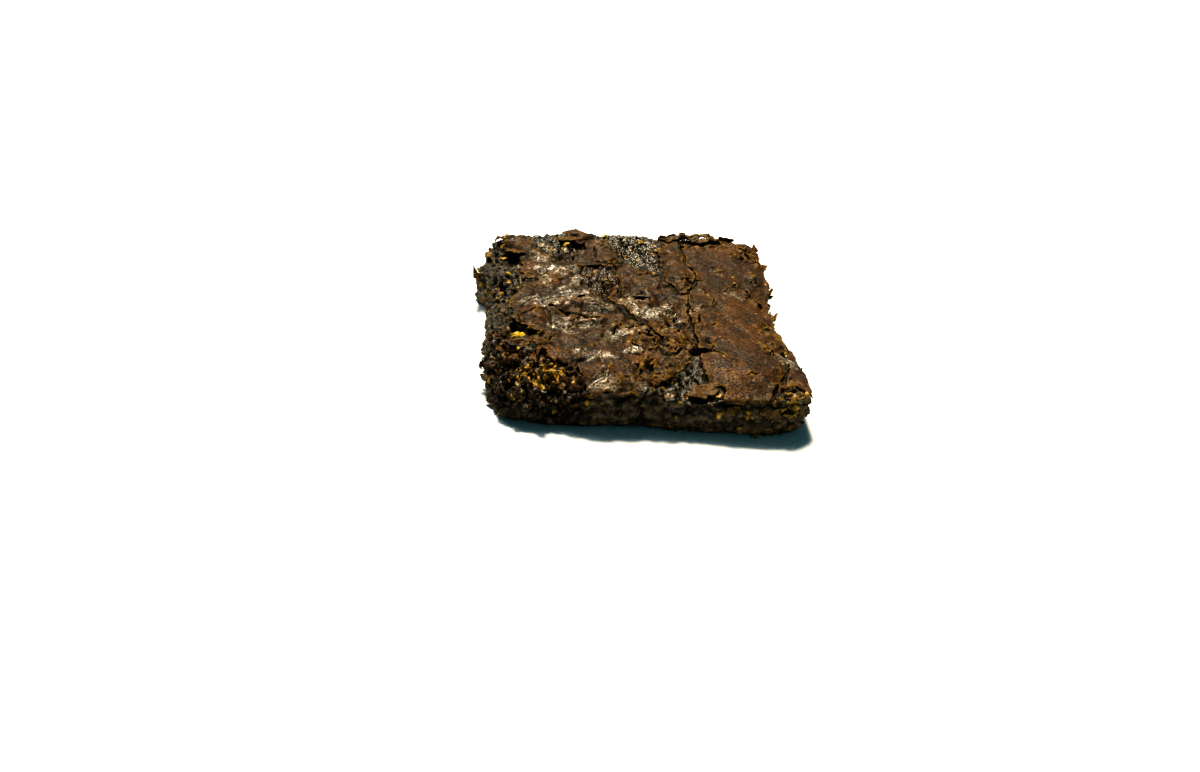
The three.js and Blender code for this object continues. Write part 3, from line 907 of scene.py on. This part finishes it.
# Flakes of crust that stand up on the top: x, y, z, length, width, turn, pitch, roll, curl, in mm and degrees
topFlakes = [
    (-13.5, 31.5, 10.5, 9.5, 6, -32, -12, -10, 0.9), (-26.5, 24.3, 9.9, 5, 3.4, -20, 4, -8, 0.3),
    (-24.5, -8.9, 9.8, 4.5, 3, -12, 10, -12, 0.5), (29, 29, 10.2, 5, 4, 35, -16, 14, 0.7),
    (11.8, -35.4, 9.7, 6.6, 4.8, 3, 2, 20, 0.5), (4.6, -37.1, 9.1, 3.2, 1.3, 8, 0, 18, 0.1),
    (-27.5, -24.5, 9.3, 3.6, 2.4, 30, 18, 24, 0.3), (-18.6, -33.6, 8.6, 3.4, 2.4, -30, 4, 34, 0.3),
    (-30.8, -20.4, 9.2, 3, 2.2, 60, 10, 20, 0.3), (-24, -25, 9.6, 2.8, 2, 10, -14, 16, 0.3),
]

# Flakes on the sides, from a place just outside: x, y, z, length, height, lean outward at the top, turn, curl
sideFlakes = [
    (19, -40, 7.8, 4, 2.2, -30, -4, 0.3), (26.5, -40, 7.8, 4.5, 3.6, -20, -8, 0.4),
    (34.5, -37, 7.6, 4.6, 4.4, -18, 10, 0.6), (39, -30, 7.4, 6, 4.4, -12, -6, 0.5),
    (39, -23, 7.6, 4.6, 3.2, -18, 8, 0.4), (37, -14.5, 8.8, 4.6, 2.6, 50, -14, 0.4),
    (36, -2, 9.2, 4.2, 2.6, 46, 20, 0.4), (36.5, 5, 7.8, 6, 3, -14, 0, 0.3),
    (38, 15, 8.6, 5, 2.6, 30, 5, 0.5), (37.5, 24, 9.2, 5, 3, 40, -8, 0.6),
    (35, 33, 9.6, 5, 3.2, 36, 6, 0.7), (25, 41, 9.8, 6, 3.2, 22, 4, 0.6), (13, 41, 10, 6, 3.4, 24, -6, 0.6),
    (-38.5, 15.6, 8.0, 4.4, 4.0, 40, 12, 0.4),
]
looseFlakes = [
    (-22, -25, 8, 6, 40, 1.0, 3.2), (-30, -18, 8, 5, 18, 0.8, 2.4), (5, -17, 10, 6, 20, 0.8, 2.2),
    (9, -8, 10, 4, 10, 0.7, 1.8), (0, -31, 10, 6, 16, 0.8, 2.2), (30, 27, 9, 6, 18, 0.8, 2.4),
    (18, 34, 10, 6, 16, 0.8, 2.4), (33, -20, 7, 6, 22, 0.8, 2.2), (33, -31, 6, 5, 26, 0.8, 2.6),
    (-7, 9, 10, 4, 14, 0.6, 1.6), (34, 5, 7, 12, 22, 0.7, 2.0), (-28, 5, 9, 9, 22, 0.6, 1.8),
]

# Bits: how flat, how far the middle stands out, the half length with more faces, how blocky (1 is round),
# and how far and over what length noise moves them
bitForm = {"flatness": (0.3, 0.85), "rise": 0.25, "finerFrom": 0.6, "blockiness": 0.55,
           "warps": ((0.6, 1.3), (0.16, 0.5))}
# Flakes: thickness, the height and length of their waves, and faces along each side
flakeForm = {"thickness": 0.28, "wave": 0.16, "waveMm": 1.2, "top": 22, "side": 16, "loose": 5}


def spotsAround(draw, zone):
    # places on the crumb near the middle of a zone, each with the way the crumb faces and a size
    x, y, z, radius, count, smallest, largest = zone
    for _ in range(count):
        way = Vector([draw.gauss(0, 1) for _ in range(3)]).normalized()
        place, normal = surfaceTree.find_nearest(Vector((x, y, z)) + way * radius * draw.random() ** 0.4)[:2]
        yield place, normal, smallest + (largest - smallest) * draw.random() ** 2.2


def isOpen(place, normal):
    # whether no crust covers a place
    return normal.z < 0.4 or crustDepth(np.array([place[:2]]))[0] < -0.1


def addBit(shape, draw, place, normal, long, short):
    # a blocky crumb, partly sunk into the surface
    turn = Euler([draw.uniform(0, 6.28) for _ in range(3)]).to_matrix().to_4x4()
    stretch = Matrix.Diagonal((long, short, short * draw.uniform(*bitForm["flatness"]), 1))
    centre = place + normal * bitForm["rise"] * short
    matrix = Matrix.Translation(centre * toMetres) @ turn @ stretch @ Matrix.Scale(toMetres, 4)
    detail = 2 if long > bitForm["finerFrom"] else 1
    made = bmesh.ops.create_icosphere(shape, subdivisions=detail, radius=1)["verts"]
    for vertex in made:
        vertex.co = Vector([math.copysign(abs(c) ** bitForm["blockiness"], c) for c in vertex.co])
    bmesh.ops.transform(shape, matrix=matrix, verts=made)


def scatterBits(name, zones, lumps, material, seed):
    # one piece of many small bits on the bare crumb, and of single lumps at their own places
    draw = random.Random(seed)
    shape = bmesh.new()
    for zone in zones:
        for place, normal, size in spotsAround(draw, zone):
            if isOpen(place, normal):
                addBit(shape, draw, place, normal, 0.5 * size * draw.uniform(1, 1.5), 0.5 * size)
    fresh = [0.0] * len(shape.verts)
    for x, y, long, short, yellow in lumps:
        place = surfaceTree.ray_cast(Vector((x, y, above)), down)[0]
        matrix = Matrix.Translation((place + Vector((0, 0, 0.15 * short))) * toMetres)
        matrix = matrix @ Matrix.Rotation(draw.uniform(-0.6, 0.6), 4, "Z")
        matrix = matrix @ Matrix.Diagonal((long, short, 0.6 * short, 1))
        bmesh.ops.create_icosphere(shape, subdivisions=3, radius=1, matrix=matrix @ Matrix.Scale(toMetres, 4))
        fresh += [yellow] * (len(shape.verts) - len(fresh))
    piece = newPiece(name, shape, material)
    points = pointsOf(piece.data)
    moved = points.copy()
    for amount, size in bitForm["warps"]:
        moved += np.column_stack([amount * waves(points, size, seed + 5 * axis) for axis in range(3)])
    setPoints(piece.data, moved)
    addAttributes(piece.data, {"fresh": np.array(fresh)})
    ridesOnRoot(piece)


def addFlake(shape, draw, matrix, long, wide, curl, detail):
    # a thin chip of crust: a curled sheet with a torn outline
    made = bmesh.ops.create_grid(shape, x_segments=detail, y_segments=detail, size=1)["verts"]
    turns = [draw.uniform(0, 6.28) for _ in range(3)]
    for vertex in made:
        x, y = vertex.co.xy
        x, y = x * math.sqrt(1 - y * y / 2), y * math.sqrt(1 - x * x / 2)
        angle = math.atan2(y, x)
        torn = 0.85 + 0.16 * math.sin(2 * angle + turns[0]) + 0.12 * math.sin(5 * angle + turns[1])
        torn += 0.07 * math.sin(9 * angle + turns[2])
        vertex.co = Vector((x * torn * long / 2, y * torn * wide / 2, curl * x * x * x)) * toMetres
    bmesh.ops.transform(shape, matrix=matrix, verts=made)


def scatterFlakes():
    draw = random.Random(12)
    shape = bmesh.new()
    for x, y, z, long, wide, turn, pitch, roll, curl in topFlakes:
        angles = [math.radians(angle) for angle in (roll, pitch, turn)]
        matrix = Matrix.Translation(Vector((x, y, z)) * toMetres) @ Euler(angles).to_matrix().to_4x4()
        addFlake(shape, draw, matrix, long, wide, curl, flakeForm["top"])
    for x, y, z, long, wide, lean, turn, curl in sideFlakes:
        place = surfaceTree.find_nearest(Vector((x, y, z)))[0]
        outward = Vector((x - place.x, y - place.y, 0)).normalized()
        lean, turn = math.radians(lean), math.radians(turn)
        facing = outward.to_track_quat("Z", "Y").to_matrix()
        facing = facing @ Matrix.Rotation(lean, 3, "X") @ Matrix.Rotation(turn, 3, "Z")
        centre = place + outward * (0.1 + 0.3 * wide * abs(math.sin(lean)))
        matrix = Matrix.Translation(centre * toMetres) @ facing.to_4x4()
        addFlake(shape, draw, matrix, long, wide, curl, flakeForm["side"])
    for zone in looseFlakes:
        for place, normal, size in spotsAround(draw, zone):
            rise = 0.5 if isOpen(place, normal) else 1.3
            tilt = Euler((draw.uniform(-0.5, 0.5), draw.uniform(-0.5, 0.5), draw.uniform(0, 6.28)))
            facing = normal.to_track_quat("Z", "Y").to_matrix() @ tilt.to_matrix()
            matrix = Matrix.Translation((place + normal * rise) * toMetres) @ facing.to_4x4()
            wide, curl = size * draw.uniform(0.5, 0.8), draw.uniform(-0.15, 0.3) * size
            addFlake(shape, draw, matrix, size, wide, curl, flakeForm["loose"])
    piece = newPiece("flakes", shape, crustMaterial)
    points = pointsOf(piece.data)
    moves = [flakeForm["wave"] * waves(points, flakeForm["waveMm"], 57 + axis, 2) for axis in range(3)]
    setPoints(piece.data, points + np.column_stack(moves))
    # the flakes' painted sheen near the shiny zones, and their darker patches
    shineAndPaintedSheen, darkPatchesAndValleyShade = 0.6 * nearZones(points, shineAndPaintedSheenZones), 0.5 * nearZones(points, darkZones)
    addAttributes(piece.data, {"edge": np.full(len(points), 0.35), "shineAndPaintedSheen": shineAndPaintedSheen, "darkPatchesAndValleyShade": darkPatchesAndValleyShade})
    thicken(piece, flakeForm["thickness"])
    ridesOnRoot(piece)


scatterBits("nutBits", goldenBits, nutLumps, goldenMaterial, 4)
scatterBits("looseCrumbs", looseBits, [], looseMaterial, 9)
scatterFlakes()
print("crumbs and flakes scattered")

# The photograph's camera, looking down at 31 degrees; place in metres, angles in degrees, lens in mm
cameraSet = {
    "place": (-0.04942, -0.33246, 0.19203), "azimuth": -7.547, "elevation": 31.324, "roll": 6.701,
    "lens": 50,
}


def makeCamera():
    azimuth, elevation, roll = (math.radians(cameraSet[key]) for key in ("azimuth", "elevation", "roll"))
    back = Vector((math.sin(azimuth), -math.cos(azimuth), math.tan(elevation))).normalized()
    level = Vector((math.cos(azimuth), math.sin(azimuth), 0))
    upward = back.cross(level)
    right = level * math.cos(roll) + upward * math.sin(roll)
    top = upward * math.cos(roll) - level * math.sin(roll)
    data = bpy.data.cameras.new("camera")
    data.lens = cameraSet["lens"]
    camera = addToScene(bpy.data.objects.new("camera", data))
    turned = Matrix((right, top, back)).transposed().to_4x4()
    camera.matrix_world = Matrix.Translation(cameraSet["place"]) @ turned
    bpy.context.scene.camera = camera


studio = {
    "sunStrength": 5.2, "sunAngle": 12, "sunAzimuth": 104, "sunElevation": 62, "sunColour": "#FFEDCF",
    "panelPower": 3, "panelSize": 0.42, "panelPlace": (-0.2, 0.4, 0.82), "skyColour": "#7CC6D0",
    "skyStrength": 0.145, "floorSize": 8,
}


def makeStudio():
    floorShape = bmesh.new()
    bmesh.ops.create_grid(floorShape, x_segments=1, y_segments=1, size=studio["floorSize"] / 2)
    floor = newPiece("floor", floorShape, whiteSurface())
    sun = bpy.data.lights.new("sun", "SUN")
    sun.energy = studio["sunStrength"]
    sun.angle = math.radians(studio["sunAngle"])
    sun.color = linear(studio["sunColour"])[:3]
    azimuth, elevation = math.radians(studio["sunAzimuth"]), math.radians(studio["sunElevation"])
    toSun = Vector((math.cos(azimuth), math.sin(azimuth), math.tan(elevation)))
    lamp = addToScene(bpy.data.objects.new("sun", sun))
    lamp.rotation_euler = toSun.to_track_quat("Z", "Y").to_euler()
    panel = bpy.data.lights.new("panel", "AREA")
    panel.shape = "RECTANGLE"
    panel.size = 1.6 * studio["panelSize"]
    panel.size_y = studio["panelSize"]
    panel.energy = studio["panelPower"]
    softLamp = addToScene(bpy.data.objects.new("panel", panel))
    softLamp.location = studio["panelPlace"]
    softLamp.rotation_euler = softLamp.location.to_track_quat("Z", "Y").to_euler()
    world = bpy.data.worlds.new("studio")
    world.use_nodes = True
    background = world.node_tree.nodes["Background"]
    background.inputs["Color"].default_value = linear(studio["skyColour"])
    background.inputs["Strength"].default_value = studio["skyStrength"]
    bpy.context.scene.world = world
    bpy.context.scene.view_settings.view_transform = "Standard"
    bpy.context.scene.view_settings.look = "High Contrast"


makeCamera()
makeStudio()
print("camera and studio made")
